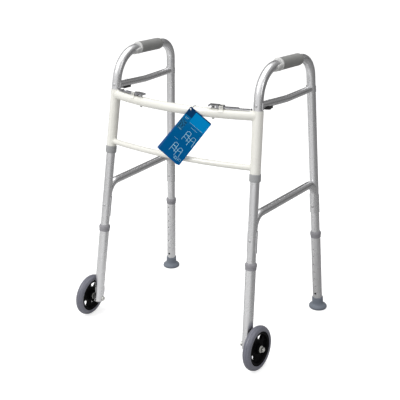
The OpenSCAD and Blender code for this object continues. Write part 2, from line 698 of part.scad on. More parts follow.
module right_tyre() color(tyre_color) right_frame() tyre();
module left_tyre() color(tyre_color) left_frame() tyre();
module right_wheel_hub() color(hub_color) right_frame() wheel_hub();
module left_wheel_hub() color(hub_color) left_frame() wheel_hub();
module right_axle_bolt() color(bright_steel) right_frame() axle_bolt();
module left_axle_bolt() color(bright_steel) left_frame() axle_bolt();
module right_axle_nut() color(bright_steel) right_frame() axle_nut();
module left_axle_nut() color(bright_steel) left_frame() axle_nut();
module right_axle_washers() color(steel) right_frame() axle_washers();
module left_axle_washers() color(steel) left_frame() axle_washers();
module right_leg_plug() color(plug_color) right_frame() leg_plug();
module left_leg_plug() color(plug_color) left_frame() leg_plug();
module right_release_lever() color(lever_color) release_lever();
module left_release_lever() color(lever_color) mirrored() release_lever();
module right_lever_bracket() color(paint) lever_bracket();
module left_lever_bracket() color(paint) mirrored() lever_bracket();
module right_lever_pin() color(steel) lever_pin();
module left_lever_pin() color(steel) mirrored() lever_pin();
module right_lever_spring() color(spring_color) lever_spring();
module left_lever_spring() color(spring_color) mirrored() lever_spring();
module right_guide_stud() color(stud_color) guide_stud();
module left_guide_stud() color(stud_color) mirrored() guide_stud();
module right_catch() color(catch_color) right_frame() catch_block();
module left_catch() color(catch_color) left_frame() catch_block();

front_frame();
left_hoop();
right_hoop();
left_grip();
right_grip();
left_upper_brace();
right_upper_brace();
left_lower_brace();
right_lower_brace();
left_brace_rivets();
right_brace_rivets();
left_sleeve_collar();
right_sleeve_collar();
front_left_collar();
front_right_collar();
rear_left_collar();
rear_right_collar();
front_left_extension();
front_right_extension();
rear_left_extension();
rear_right_extension();
front_left_button();
front_right_button();
rear_left_button();
rear_right_button();
front_left_clip();
front_right_clip();
rear_left_clip();
rear_right_clip();
left_rear_tip();
right_rear_tip();
left_tip_washer();
right_tip_washer();
left_tyre();
right_tyre();
left_wheel_hub();
right_wheel_hub();
left_axle_bolt();
right_axle_bolt();
left_axle_nut();
right_axle_nut();
left_axle_washers();
right_axle_washers();
left_leg_plug();
right_leg_plug();
left_release_lever();
right_release_lever();
left_lever_bracket();
right_lever_bracket();
left_lever_pin();
right_lever_pin();
left_lever_spring();
right_lever_spring();
left_guide_stud();
right_guide_stud();
left_catch();
right_catch();
hang_tag();
tag_tie();
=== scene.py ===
"""Folding walking frame with two front wheels, hand grips and a hang tag, in a plain studio.

Metres, +Z up, floor at z = 0. +X is the frame's right, -Y its front; the user stands on the
+Y side. Grips, tyres, rear tips, springs and the tag are rebuilt in finer detail; rim lips,
bearing caps and weld beads are added.
"""
import bpy
import bmesh
import json
import math
import random
from mathutils import Vector, Matrix


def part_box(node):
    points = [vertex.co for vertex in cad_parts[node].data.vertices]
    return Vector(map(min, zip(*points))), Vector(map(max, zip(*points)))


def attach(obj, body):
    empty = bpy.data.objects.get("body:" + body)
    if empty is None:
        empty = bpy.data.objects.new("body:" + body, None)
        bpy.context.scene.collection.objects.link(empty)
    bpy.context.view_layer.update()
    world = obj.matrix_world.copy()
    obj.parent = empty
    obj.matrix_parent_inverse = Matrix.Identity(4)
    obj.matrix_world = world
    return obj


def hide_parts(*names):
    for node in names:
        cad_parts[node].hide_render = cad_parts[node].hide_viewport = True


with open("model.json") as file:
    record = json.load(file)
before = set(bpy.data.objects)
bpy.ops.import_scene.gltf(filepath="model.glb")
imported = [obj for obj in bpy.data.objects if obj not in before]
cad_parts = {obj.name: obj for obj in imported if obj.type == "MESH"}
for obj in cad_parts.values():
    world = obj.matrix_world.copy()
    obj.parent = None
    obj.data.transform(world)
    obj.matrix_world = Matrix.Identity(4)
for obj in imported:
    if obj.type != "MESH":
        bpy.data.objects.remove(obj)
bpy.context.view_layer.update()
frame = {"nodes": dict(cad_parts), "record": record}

RECORD = frame["record"]
NODES = frame["nodes"]
JOINTS = {j["name"]: j for j in RECORD["behaviour"]["joints"]}
MOUNTS = {m["name"]: m for m in RECORD["mounts"]}
UP = Vector((0, 0, 1))


# ------------------------------------------------------------------ side frames
class Side:
    """Axes and places of one side frame, read from the record."""

    def __init__(self, name):
        self.name = name
        self.sign = 1 if name == "right" else -1
        self.leg_up = -Vector(JOINTS[f"front_{name}_leg_slide"]["axis"])
        self.rear_up = -Vector(JOINTS[f"rear_{name}_leg_slide"]["axis"])
        # towards the user, in the plane of the side frame
        self.to_user = -Vector(JOINTS[f"front_{name}_button_press"]["axis"])
        spin = Vector(JOINTS[f"{name}_wheel_spin"]["axis"])
        self.outboard = spin if spin.x * self.sign > 0 else -spin
        fold = Vector(JOINTS[f"{name}_side_fold"]["pos_m"])
        # where the front leg axis meets the floor
        self.leg_floor = fold - self.leg_up * (fold.z / self.leg_up.z)
        self.wheel = Vector(JOINTS[f"{name}_wheel_spin"]["pos_m"])
        self.rear_foot = Vector(MOUNTS[f"{name}_rear_foot"]["pos_m"])

    def leg_at(self, height):
        """Point of the front leg axis at a height above the floor."""
        return self.leg_floor + self.leg_up * (height / self.leg_up.z)


SIDES = {name: Side(name) for name in ("left", "right")}


# ------------------------------------------------------------------ shader graph
class Graph:
    """Adds shader nodes to a tree. Any value may be a number, a tuple or an output socket."""

    def __init__(self, tree):
        self.tree = tree
        tree.nodes.clear()

    def feed(self, node, values):
        for key, value in values.items():
            socket = node.inputs[key]
            if isinstance(value, bpy.types.NodeSocket):
                self.tree.links.new(value, socket)
            elif socket.type == "RGBA":
                socket.default_value = (*value, 1)
            else:
                socket.default_value = value

    def add(self, kind, values=None, **settings):
        node = self.tree.nodes.new(kind)
        for name, value in settings.items():
            setattr(node, name, value)
        self.feed(node, values or {})
        return node

    def coords(self, scale=(1, 1, 1)):
        source = self.add("ShaderNodeTexCoord").outputs["Object"]
        return self.add("ShaderNodeMapping", {"Scale": scale, "Vector": source}).outputs[0]

    def noise(self, vector, scale, detail, rough):
        values = {"Scale": scale, "Detail": detail, "Roughness": rough, "Vector": vector}
        return self.add("ShaderNodeTexNoise", values).outputs["Fac"]

    def ramp(self, factor, stops):
        """Colour ramp through (position, colour) stops."""
        node = self.add("ShaderNodeValToRGB", {"Fac": factor})
        elements = node.color_ramp.elements
        for i, (position, color) in enumerate(stops):
            element = elements[i] if i < 2 else elements.new(position)
            element.position = position
            element.color = (*color, 1)
        return node.outputs["Color"]

    def remap(self, value, source, target):
        """Linear map of the source range onto the target range."""
        values = {"From Min": source[0], "From Max": source[1],
                  "To Min": target[0], "To Max": target[1], "Value": value}
        return self.add("ShaderNodeMapRange", values).outputs["Result"]

    def mix(self, factor, base, over):
        node = self.add("ShaderNodeMix", data_type="RGBA")
        self.feed(node, {0: factor, 6: base, 7: over})
        return node.outputs[2]

    def math(self, operation, first, second):
        return self.add("ShaderNodeMath", {0: first, 1: second}, operation=operation).outputs[0]

    def bump(self, shader, height, strength, distance):
        values = {"Strength": strength, "Distance": distance, "Height": height}
        self.feed(shader, {"Normal": self.add("ShaderNodeBump", values).outputs[0]})

    def worn_edges(self, base, color, source, amount):
        """Mixes a colour in where the surface is sharply convex."""
        point = self.add("ShaderNodeNewGeometry").outputs["Pointiness"]
        return self.mix(self.remap(point, source=source, target=(0.0, amount)), base, color)

    def leftward(self, vector):
        """How far a vector goes to the left of the camera, and its separated parts."""
        parts = self.add("ShaderNodeSeparateXYZ", {0: vector}).outputs
        left = self.math("ADD", self.math("MULTIPLY", parts[0], CAMERA_LEFT[0]),
                         self.math("MULTIPLY", parts[1], CAMERA_LEFT[1]))
        return left, parts


CAMERA_LEFT = (-0.731, -0.682)      # horizontal direction along which the room light changes
MATERIALS = {}


def new_material(name):
    material = bpy.data.materials.new(name)
    material.use_nodes = True
    MATERIALS[name] = material
    graph = Graph(material.node_tree)
    output = graph.add("ShaderNodeOutputMaterial")
    shader = graph.add("ShaderNodeBsdfPrincipled")
    graph.feed(output, {0: shader.outputs[0]})
    return graph, shader


def tint(color, gain, lift=0.0):
    return [min(1, c * gain + lift) for c in color]


# ------------------------------------------------------------------ materials
def metal(name, color, rough, grain=(230, 230, 6), edge=0.12, vary=0.05, shade=False):
    """Drawn metal: grain lines, handling marks, lighter edges; shade paints near-black shade into
    the base colour of deep holes.
    """
    g, shader = new_material(name)
    fine = g.noise(g.coords(grain), scale=1.0, detail=3.0, rough=0.6)
    blotch = g.noise(g.coords(), scale=22.0, detail=5.0, rough=0.55)
    base = g.ramp(fine, [(0.25, tint(color, 1 - vary)), (0.75, tint(color, 1 + vary))])
    base = g.worn_edges(base, tint(color, 1.25), source=(0.52, 0.62), amount=edge)
    dirt = g.remap(blotch, source=(0.35, 0.75), target=(0.0, 0.10))
    base = g.mix(dirt, base, tint(color, 0.8))
    if shade:
        # painted shade: where ambient occlusion finds a deep hole, the base colour is mixed
        # towards near black
        occlusion = g.add("ShaderNodeAmbientOcclusion", {"Distance": 0.03}, samples=6)
        painted_hole_shade = g.remap(occlusion.outputs["AO"], source=(0.22, 0.50), target=(0.93, 0.0))
        base = g.mix(painted_hole_shade, base, (0.01, 0.01, 0.011))
    roughness = g.math("ADD",
                       g.remap(fine, source=(0.2, 0.8), target=(rough - 0.02, rough + 0.02)),
                       g.remap(blotch, source=(0.3, 0.7), target=(-0.03, 0.05)))
    g.feed(shader, {"Base Color": base, "Metallic": 1.0, "Roughness": roughness})
    g.bump(shader, fine, strength=0.012, distance=0.0003)


def paint(name, color, rough, coat):
    """Gloss paint: orange peel, faint specks and pale edges."""
    g, shader = new_material(name)
    vector = g.coords()
    peel = g.noise(vector, scale=420.0, detail=2.0, rough=0.5)
    soft = g.noise(vector, scale=14.0, detail=4.0, rough=0.6)
    speck = g.noise(vector, scale=160.0, detail=3.0, rough=0.7)
    base = g.ramp(soft, [(0.3, tint(color, 0.965)), (0.7, color)])
    specks = g.remap(speck, source=(0.62, 0.72), target=(0.0, 0.12))
    base = g.mix(specks, base, tint(color, 0.86))
    base = g.worn_edges(base, (0.95, 0.94, 0.9), source=(0.54, 0.66), amount=0.25)
    roughness = g.remap(soft, source=(0.3, 0.7), target=(rough - 0.04, rough + 0.07))
    g.feed(shader, {"Base Color": base, "Roughness": roughness,
                    "Coat Weight": coat, "Coat Roughness": 0.15})
    g.bump(shader, peel, strength=0.09, distance=0.0004)


def rubber(name, color, rough, grain, dust, sheen=0.15, relief=0.25):
    """Grained rubber or vinyl with a cloudy film of dust."""
    g, shader = new_material(name)
    vector = g.coords()
    fine = g.noise(vector, scale=grain, detail=3.0, rough=0.6)
    cloud = g.noise(vector, scale=30.0, detail=5.0, rough=0.6)
    base = g.ramp(fine, [(0.3, tint(color, 0.88)), (0.7, tint(color, 1.1))])
    film = g.remap(cloud, source=(0.4, 0.75), target=(0.0, dust))
    base = g.mix(film, base, tint(color, 1.45, lift=0.03))
    base = g.worn_edges(base, tint(color, 1.6, lift=0.04), source=(0.52, 0.6), amount=0.2)
    roughness = g.remap(cloud, source=(0.3, 0.7), target=(rough - 0.06, rough + 0.08))
    g.feed(shader, {"Base Color": base, "Roughness": roughness,
                    "Sheen Weight": sheen, "Sheen Roughness": 0.5})
    g.bump(shader, fine, strength=relief, distance=0.0004)


def plastic(name, color, rough, grain, relief=0.1, specular=0.5):
    """Moulded plastic with a fine grain."""
    g, shader = new_material(name)
    vector = g.coords()
    fine = g.noise(vector, scale=grain, detail=2.0, rough=0.5)
    cloud = g.noise(vector, scale=40.0, detail=4.0, rough=0.6)
    base = g.ramp(cloud, [(0.3, tint(color, 0.92)), (0.7, tint(color, 1.06))])
    base = g.worn_edges(base, tint(color, 1.35, lift=0.03), source=(0.52, 0.6), amount=0.25)
    roughness = g.remap(fine, source=(0.3, 0.7), target=(rough - 0.04, rough + 0.05))
    g.feed(shader, {"Base Color": base, "Roughness": roughness, "Coat Roughness": 0.08,
                    "Specular IOR Level": specular})
    g.bump(shader, fine, strength=relief, distance=0.0003)


paint("ivory_paint", (0.80, 0.792, 0.735), rough=0.28, coat=0.35)
metal("anodised", (0.80, 0.80, 0.81), rough=0.27, shade=True)
metal("brace_metal", (0.76, 0.76, 0.77), rough=0.25, grain=(230, 12, 230))
rubber("grip_vinyl", (0.235, 0.235, 0.228), rough=0.55, grain=1100.0, dust=0.18, sheen=0.1,
       relief=0.35)
rubber("grip_end", (0.56, 0.56, 0.55), rough=0.5, grain=1100.0, dust=0.05, sheen=0.1,
       relief=0.2)
plastic("collar_plastic", (0.275, 0.27, 0.29), rough=0.45, grain=700.0)
plastic("sleeve_plastic", (0.33, 0.335, 0.34), rough=0.45, grain=700.0)
metal("rivet_steel", (0.55, 0.55, 0.56), rough=0.32, grain=(300, 300, 300))
metal("spring_steel", (0.42, 0.42, 0.44), rough=0.28, grain=(400, 400, 400))
rubber("tip_rubber", (0.15, 0.17, 0.205), rough=0.6, grain=800.0, dust=0.15)
metal("zinc", (0.70, 0.70, 0.67), rough=0.30, grain=(250, 250, 250), edge=0.3, vary=0.12)
rubber("tyre_rubber", (0.150, 0.152, 0.186), rough=0.33, grain=700.0, dust=0.22, sheen=0.1,
       relief=0.3)
plastic("hub_plastic", (0.0015, 0.0015, 0.0018), rough=0.55, grain=500.0, relief=0.05,
        specular=0.05)
metal("bright_steel", (0.62, 0.62, 0.64), rough=0.2, grain=(60, 500, 500))
plastic("black_plastic", (0.012, 0.012, 0.013), rough=0.4, grain=500.0)
plastic("plug_plastic", (0.55, 0.55, 0.56), rough=0.4, grain=500.0)
plastic("tie_plastic", (0.30, 0.31, 0.33), rough=0.35, grain=500.0)
metal("lever_steel", (0.47, 0.47, 0.49), rough=0.22, grain=(60, 500, 500))


# ------------------------------------------------------------------ CAD pieces
def shade_smooth(mesh, sharp_angle=None):
    mesh.polygons.foreach_set("use_smooth", [True] * len(mesh.polygons))
    if sharp_angle:
        mesh.set_sharp_from_angle(angle=math.radians(sharp_angle))
    mesh.update()


def dress_cad():
    """Gives each CAD piece the material of its record slot, zinc where there is none."""
    slots = {part["node"]: part["material_slot"] for part in RECORD["subparts"]}
    for name in SIDES:
        slots[f"{name}_sleeve_collar"] = "sleeve_plastic"
        slots[f"{name}_release_lever"] = "lever_steel"
    for name, node in NODES.items():
        node.data.materials.clear()
        node.data.materials.append(MATERIALS.get(slots[name], MATERIALS["zinc"]))
        shade_smooth(node.data)


dress_cad()


# ------------------------------------------------------------------ mesh builders
def mesh_object(name, bm, materials):
    mesh = bpy.data.meshes.new(name)
    bm.to_mesh(mesh)
    bm.free()
    obj = bpy.data.objects.new(name, mesh)
    bpy.context.scene.collection.objects.link(obj)
    for material in materials:
        mesh.materials.append(material)
    return obj


def add_piece(name, bm, materials, body, sharp=35, replaces=()):
    """Turns a bmesh into a piece that moves with a body; materials are given by name."""
    bmesh.ops.recalc_face_normals(bm, faces=bm.faces)
    obj = mesh_object(name, bm, [MATERIALS[m] for m in materials])
    shade_smooth(obj.data, sharp)
    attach(obj, body)
    if replaces:
        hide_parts(*replaces)


def basis(axis, x_hint):
    z = axis.normalized()
    x = (x_hint - z * x_hint.dot(z)).normalized()
    return x, z.cross(x), z


def circle(bm, centre, x, y, radius, count):
    angles = [2 * math.pi * i / count for i in range(count)]
    return [bm.verts.new(centre + x * (radius * math.cos(a)) + y * (radius * math.sin(a)))
            for a in angles]


def bridge(bm, first, second, shift=0):
    """Quads between two closed rings; shift turns the second ring."""
    n = len(first)
    for k in range(n):
        bm.faces.new((first[k], first[(k + 1) % n],
                      second[(k + 1 + shift) % n], second[(k + shift) % n]))


def add_revolved(bm, profile, origin, axis, x_hint, count, radial_change=None):
    """Turns a closed profile of (radius, height) about an axis."""
    x, y, z = basis(axis, x_hint)
    rings = []
    for i in range(count):
        angle = 2 * math.pi * i / count
        ca, sa = math.cos(angle), math.sin(angle)
        ring = []
        for k, (radius, height) in enumerate(profile):
            if radial_change:
                radius += radial_change(k, angle)
            ring.append(bm.verts.new(origin + x * (radius * ca) + y * (radius * sa) + z * height))
        rings.append(ring)
    n = len(profile)
    for i in range(count):
        here, there = rings[i], rings[(i + 1) % count]
        for k in range(n):
            after = (k + 1) % n
            bm.faces.new((here[k], there[k], there[after], here[after]))


def round_profile(points, radius, steps=3):
    """Rounds the corners of a closed (radius, height) profile."""
    out = []
    for i, point in enumerate(points):
        corner = Vector(point)
        back = Vector(points[i - 1]) - corner
        ahead = Vector(points[(i + 1) % len(points)]) - corner
        cut = min(radius, back.length * 0.45, ahead.length * 0.45)
        start = corner + back.normalized() * cut
        end = corner + ahead.normalized() * cut
        for step in range(steps + 1):
            t = step / steps
            out.append(tuple((1 - t) ** 2 * start + 2 * t * (1 - t) * corner + t * t * end))
    return out


def add_tube(bm, points, radius, count, closed=False):
    """Round tube along points; radius is a number or a function of the share along it."""
    n = len(points)
    tangents = []
    for i in range(n):
        if closed:
            tangent = points[(i + 1) % n] - points[i - 1]
        else:
            tangent = points[min(i + 1, n - 1)] - points[max(i - 1, 0)]
        tangents.append(tangent.normalized())
    x = UP if abs(tangents[0].z) < 0.9 else Vector((1, 0, 0))
    x = (x - tangents[0] * x.dot(tangents[0])).normalized()
    rings = []
    for i, (point, tangent) in enumerate(zip(points, tangents)):
        x = (x - tangent * x.dot(tangent)).normalized()
        y = tangent.cross(x)
        size = radius(i / (n - 1)) if callable(radius) else radius
        rings.append(circle(bm, point, x, y, size, count))
    for first, second in zip(rings, rings[1:]):
        bridge(bm, first, second)
    if closed:
        # the frame may have turned on the way round: join nearest points
        last, first = rings[-1], rings[0]
        shift = min(range(count), key=lambda k: (last[0].co - first[k].co).length)
        bridge(bm, last, first, shift)
    else:
        bm.faces.new(rings[0])
        bm.faces.new(rings[-1])


# ------------------------------------------------------------------ hand grips
HANDLE_TILT = math.radians(5.6915)      # handle above the square to the front leg
GRIP_LENGTH = 0.114
GRIP_BORE = 0.01275
GRIP_R = 0.0168
GRIP_RIBS = 30
RIB_STEPS = 4                           # profile points per rib
PALE_END = 0.0046                       # the pale bead ends here along the grip
STOP_BEND_R = 0.088                     # handle tube bend ahead of the grip
STOP_BEND = math.radians(9.3)


def grip_profile():
    profile = [(GRIP_BORE, 0.0)]
    # bead at the front end: (change of radius, place along the grip)
    bead = ((-0.0002, 0.0), (0.0008, 0.0006), (0.0011, 0.0018), (0.0010, 0.0034),
            (0.0003, 0.0046), (-0.0001, 0.0052))
    profile += [(GRIP_R + rise, z) for rise, z in bead]
    rib_start, rib_end = 0.0065, GRIP_LENGTH - 0.0085
    steps = GRIP_RIBS * RIB_STEPS
    for i in range(steps + 1):
        ripple = 0.00012 + 0.00016 * math.cos(2 * math.pi * i / RIB_STEPS)
        profile.append((GRIP_R + ripple, rib_start + (rib_end - rib_start) * i / steps))
    # rounded user end: (drop in radius, distance from the end)
    end = ((0.0001, 0.0060), (0.0004, 0.0035), (0.0011, 0.0014), (0.0022, 0.0001))
    profile += [(GRIP_R - drop, GRIP_LENGTH - back) for drop, back in end]
    return profile + [(GRIP_BORE, GRIP_LENGTH)]


def add_finger_stop(bm, start, handle, under, outboard):
    """Lip under the front of the grip: straight at first, then round the tube's bend."""
    steps, straight, arc_steps = 16, 5, 28
    bend_start = start - handle * 0.010
    bend_centre = bend_start + under * STOP_BEND_R
    rings = []
    for i in range(steps + 1):
        if i <= straight:
            down = under
            centre = bend_start + handle * (0.0104 * (1 - i / straight))
        else:
            a = STOP_BEND * (i - straight) / (steps - straight)
            down = under * math.cos(a) + handle * math.sin(a)
            centre = bend_centre - down * STOP_BEND_R
        share = i / steps
        swell = 0.0007 * math.sin(math.pi * min(1, share * 1.2))
        taper = {steps: 0.0028, steps - 1: 0.0006}.get(i, 0)
        outer = GRIP_R - 0.0003 + swell - taper
        half = math.radians(104 - 16 * share)
        section = []
        for k in range(arc_steps + 1):
            edge_drop = {0: 0.0014, 1: 0.0004}.get(min(k, arc_steps - k), 0)
            section.append((outer - edge_drop, -half + 2 * half * k / arc_steps))
        section += [(GRIP_BORE, angle) for _, angle in reversed(section)]
        rings.append([bm.verts.new(centre + down * (r * math.cos(angle))
                                   + outboard * (r * math.sin(angle)))
                      for r, angle in section])
    for first, second in zip(rings, rings[1:]):
        bridge(bm, first, second)
    bm.faces.new(rings[0])
    bm.faces.new(rings[-1])


def build_grip(side):
    handle = side.to_user * math.cos(HANDLE_TILT) + side.leg_up * math.sin(HANDLE_TILT)
    under = side.to_user * math.sin(HANDLE_TILT) - side.leg_up * math.cos(HANDLE_TILT)
    # the user end of the CAD grip gives the axis and the end
    points = [v.co for v in NODES[f"{side.name}_grip"].data.vertices]
    far = max(p.dot(handle) for p in points)
    end_ring = [p for p in points if p.dot(handle) > far - 0.0003]
    centre = Vector()
    for d in (side.outboard, under):
        spread = [p.dot(d) for p in end_ring]
        centre += (min(spread) + max(spread)) / 2 * d
    start = centre + handle * (far - GRIP_LENGTH)
    bm = bmesh.new()
    add_revolved(bm, grip_profile(), start, handle, side.outboard, count=96)
    add_finger_stop(bm, start, handle, under, side.outboard)
    for face in bm.faces:
        along = (face.calc_center_median() - start).dot(handle)
        face.material_index = 1 if along < PALE_END else 0
    add_piece(f"{side.name}_grip_skin", bm, ["grip_vinyl", "grip_end"], f"{side.name}_side",
              sharp=40, replaces=(f"{side.name}_grip",))


# ------------------------------------------------------------------ wheels
WHEEL_R = 0.0635
HUB_R = WHEEL_R - 0.015
TYRE_HALF = 0.0115                      # half the tyre's width
TYRE_COUNT = 360
SHOULDER_LUGS = 60
LUG_DEPTH = 0.00035
LUG_POINTS = range(6, 10)               # profile points, from either bead, cut by the lugs
# half of the tyre section, bead to crown: (rise above the hub, distance from mid-plane)
TYRE_SECTION = [
    (0.00005, 0.0095), (0.0010, 0.0108), (0.0022, TYRE_HALF), (0.0048, TYRE_HALF),
    (0.0068, TYRE_HALF - 0.0001), (0.0086, TYRE_HALF - 0.0006),
    (0.0104, TYRE_HALF - 0.0014), (0.0118, TYRE_HALF - 0.0026),
    (0.0129, TYRE_HALF - 0.0040), (0.0137, TYRE_HALF - 0.0056),
    # groove, then the crown
    (0.0142, TYRE_HALF - 0.0070), (0.01435, TYRE_HALF - 0.0074),
    (0.0138, TYRE_HALF - 0.0078), (0.0138, TYRE_HALF - 0.0086),
    (0.01475, TYRE_HALF - 0.0090), (0.0150, 0.0)]
# closed (radius, distance from mid-plane) sections
RIM_LIP = [(HUB_R - 0.0040, 0.0088), (HUB_R - 0.0001, 0.0088), (HUB_R - 0.0001, 0.0101),
           (HUB_R - 0.0016, 0.0108), (HUB_R - 0.0034, 0.0104)]
HUB_RING = [(0.0158, 0.0038), (0.0186, 0.0038), (0.0180, 0.0050), (0.0158, 0.0052)]
BEARING_CAP = [(0.0062, 0.0129), (0.0098, 0.0129), (0.0098, 0.0134),
               (0.0090, 0.0137), (0.0070, 0.0137), (0.0062, 0.0134)]


def add_both_faces(bm, side, sections):
    """Revolves (section, corner radius, count) entries on both faces of the wheel."""
    for direction in (1, -1):
        for section, corner, count in sections:
            add_revolved(bm, round_profile(section, corner), side.wheel,
                         side.outboard * direction, side.leg_up, count)


def build_wheel(side):
    body = f"{side.name}_wheel"
    half = [(HUB_R + rise, z) for rise, z in TYRE_SECTION]
    profile = [(r, -z) for r, z in half] + half[-2::-1]

    def lugs(k, angle):
        cut = min(k, len(profile) - 1 - k) in LUG_POINTS
        return -LUG_DEPTH if cut and math.cos(angle * SHOULDER_LUGS) > 0.2 else 0

    bm = bmesh.new()
    add_revolved(bm, profile, side.wheel, side.outboard, side.leg_up, TYRE_COUNT, lugs)
    add_piece(f"{side.name}_tyre_rubber", bm, ["tyre_rubber"], body, sharp=30,
              replaces=(f"{side.name}_tyre",))
    bm = bmesh.new()
    add_both_faces(bm, side, [(RIM_LIP, 0.0005, 128), (HUB_RING, 0.0004, 64)])
    add_piece(f"{side.name}_rim_lip", bm, ["hub_plastic"], body)
    bm = bmesh.new()
    add_both_faces(bm, side, [(BEARING_CAP, 0.0002, 48)])
    add_piece(f"{side.name}_bearing_cap", bm, ["zinc"], body)


# ------------------------------------------------------------------ rear tips
TIP_COUNT = 96
TIP_FLAT_LEAN = 0.4     # share of the leg's lean that the floor-parallel rings follow
# outside, mouth to sole: (height, radius, tilt; 1 is square to the leg, 0 flat on the floor)
TIP_OUTSIDE = [
    # mouth bead and groove
    (0.0372, 0.0144, 1), (0.0375, 0.0152, 1), (0.0373, 0.0162, 1), (0.0364, 0.0169, 1),
    (0.0345, 0.0172, 1), (0.0334, 0.0171, 1), (0.0326, 0.0166, 1), (0.0318, 0.0166, 1),
    # neck and flare
    (0.0310, 0.0170, 1), (0.0275, 0.0171, 1), (0.0225, 0.0172, 0.95), (0.0190, 0.0175, 0.7),
    (0.0165, 0.0182, 0.45), (0.0148, 0.0194, 0.25), (0.0134, 0.0212, 0.12),
    (0.0121, 0.0232, 0.05), (0.0108, 0.0250, 0), (0.0096, 0.0263, 0), (0.0082, 0.0273, 0),
    (0.0066, 0.0279, 0), (0.0048, 0.0281, 0), (0.0030, 0.0279, 0), (0.0015, 0.0273, 0),
    (0.0005, 0.0265, 0), (0.0000, 0.0255, 0),
    # sole with three ring grooves
    (0.0000, 0.0240, 0), (0.0012, 0.0236, 0), (0.0012, 0.0222, 0), (0.0000, 0.0218, 0),
    (0.0000, 0.0190, 0), (0.0012, 0.0186, 0), (0.0012, 0.0172, 0), (0.0000, 0.0168, 0),
    (0.0000, 0.0130, 0), (0.0012, 0.0126, 0), (0.0012, 0.0112, 0), (0.0000, 0.0108, 0),
    (0.0000, 0.0050, 0), (0.0004, 0.0006, 0)]
# inside of the cup, mouth to its floor: (height, radius), all square to the leg
TIP_INSIDE = [(0.0370, 0.01437), (0.0280, 0.01437), (0.0080, 0.01437), (0.0064, 0.0138),
              (0.0064, 0.0004)]


def build_tip(side):
    leg = side.rear_up
    foot = Vector((side.rear_foot.x, side.rear_foot.y, 0.0))
    bm = bmesh.new()

    def ring(height, radius, tilt):
        x, y, _ = basis(leg * tilt + UP * (1 - tilt), side.outboard)
        if tilt == 0:
            lean = (leg - UP * leg.z) * (height / leg.z)
            centre = foot + UP * height + lean * TIP_FLAT_LEAN
        else:
            centre = foot + leg * (height / leg.z)
        return circle(bm, centre, x, y, radius, TIP_COUNT)

    outside = [ring(*row) for row in TIP_OUTSIDE]
    for first, second in zip(outside, outside[1:]):
        bridge(bm, first, second)
    bm.faces.new(outside[-1])
    inside = [outside[0]] + [ring(height, radius, 1) for height, radius in TIP_INSIDE]
    for first, second in zip(inside, inside[1:]):
        bridge(bm, second, first)
    bm.faces.new(inside[-1])
    add_piece(f"{side.name}_tip_boot", bm, ["tip_rubber"], f"rear_{side.name}_leg",
              sharp=32, replaces=(f"{side.name}_rear_tip",))


# ------------------------------------------------------------------ lever springs
SPRING_TURNS = 5
SPRING_STEPS = 28                       # points per turn
SPRING_WIRE = 0.00055                   # wire radius
SPRING_R = 0.0040                       # coil radius to the wire's centre
SPRING_EASE = 0.25                      # share of the rise that eases in and out


def build_spring(side):
    low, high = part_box(f"{side.name}_lever_spring")
    centre = (low + high) / 2
    rise = high.z - low.z - 2 * SPRING_WIRE
    n = SPRING_TURNS * SPRING_STEPS
    points = []
    for i in range(n + 1):
        t = i / n
        angle = 2 * math.pi * SPRING_TURNS * t
        share = t * t * (3 - 2 * t) * SPRING_EASE + t * (1 - SPRING_EASE)
        points.append(Vector((centre.x + SPRING_R * math.cos(angle),
                              centre.y + SPRING_R * math.sin(angle),
                              low.z + SPRING_WIRE + rise * share)))
    bm = bmesh.new()
    add_tube(bm, points, SPRING_WIRE, count=10)
    add_piece(f"{side.name}_spring_coil", bm, ["spring_steel"], "front",
              sharp=40, replaces=(f"{side.name}_lever_spring",))


# ------------------------------------------------------------------ weld beads
SLEEVE_R = 0.0143
BEAD_R = 0.0017
BEAD_WAVE = 0.00022                     # change of bead radius along its ripples
BEAD_RIPPLES = 30
BEAD_STEPS = 120
# cross bars, upper then lower: (height, bar radius, how far the middle bows forward)
UPPER_BAR = (0.6882, 0.0127, 0.0454)
LOWER_BAR = (0.5521, 0.00795, 0.030)
BEAD_SEEDS = {"left": 1, "right": 2}


def bar_arc(side, height, bow):
    """Bar end on the leg axis, and the y of the centre and the radius of the bar's arc."""
    joint = side.leg_at(height)
    half_span = abs(joint.x)
    radius = (half_span * half_span + bow * bow) / (2 * bow)
    return joint, joint.y - bow + radius, radius


def add_bead(bm, side, joint, along, bar_r, seed):
    """Bead where a bar meets the sleeve; along runs down the bar, away from the sleeve."""
    w = side.leg_up
    w = (w - along * w.dot(along)).normalized()
    q = along.cross(w)
    # travel along the bar, seen down the sleeve
    travel = along - side.leg_up * along.dot(side.leg_up)
    points = []
    for i in range(BEAD_STEPS):
        angle = 2 * math.pi * i / BEAD_STEPS
        rim = joint + (w * (bar_r * math.cos(angle)) + q * (bar_r * math.sin(angle)))
        offset = rim - side.leg_floor
        offset = offset - side.leg_up * offset.dot(side.leg_up)
        # solve |offset + k * travel| = SLEEVE_R for the farther k
        a = travel.dot(travel)
        b = 2 * offset.dot(travel)
        c = offset.dot(offset) - SLEEVE_R * SLEEVE_R
        k = (-b + math.sqrt(max(b * b - 4 * a * c, 0))) / (2 * a)
        points.append(rim + along * k)
    phase = random.Random(seed).random() * 6

    def radius(share):
        return BEAD_R + BEAD_WAVE * math.sin(share * 2 * math.pi * BEAD_RIPPLES + phase)

    add_tube(bm, points, radius, count=10, closed=True)


def build_welds(side):
    bm = bmesh.new()
    for i, (height, bar_r, bow) in enumerate((UPPER_BAR, LOWER_BAR)):
        joint, centre_y, _ = bar_arc(side, height, bow)
        spoke = Vector((joint.x, joint.y - centre_y, 0)).normalized()
        along = Vector((-spoke.y, spoke.x, 0))
        if along.x * side.sign > 0:
            along = -along              # towards the middle of the frame
        add_bead(bm, side, joint, along, bar_r, seed=7 * i + BEAD_SEEDS[side.name])
    add_piece(f"{side.name}_weld_beads", bm, ["ivory_paint"], "front", sharp=60)


for build in (build_grip, build_wheel, build_tip, build_spring, build_welds):
    for one_side in SIDES.values():
        build(one_side)

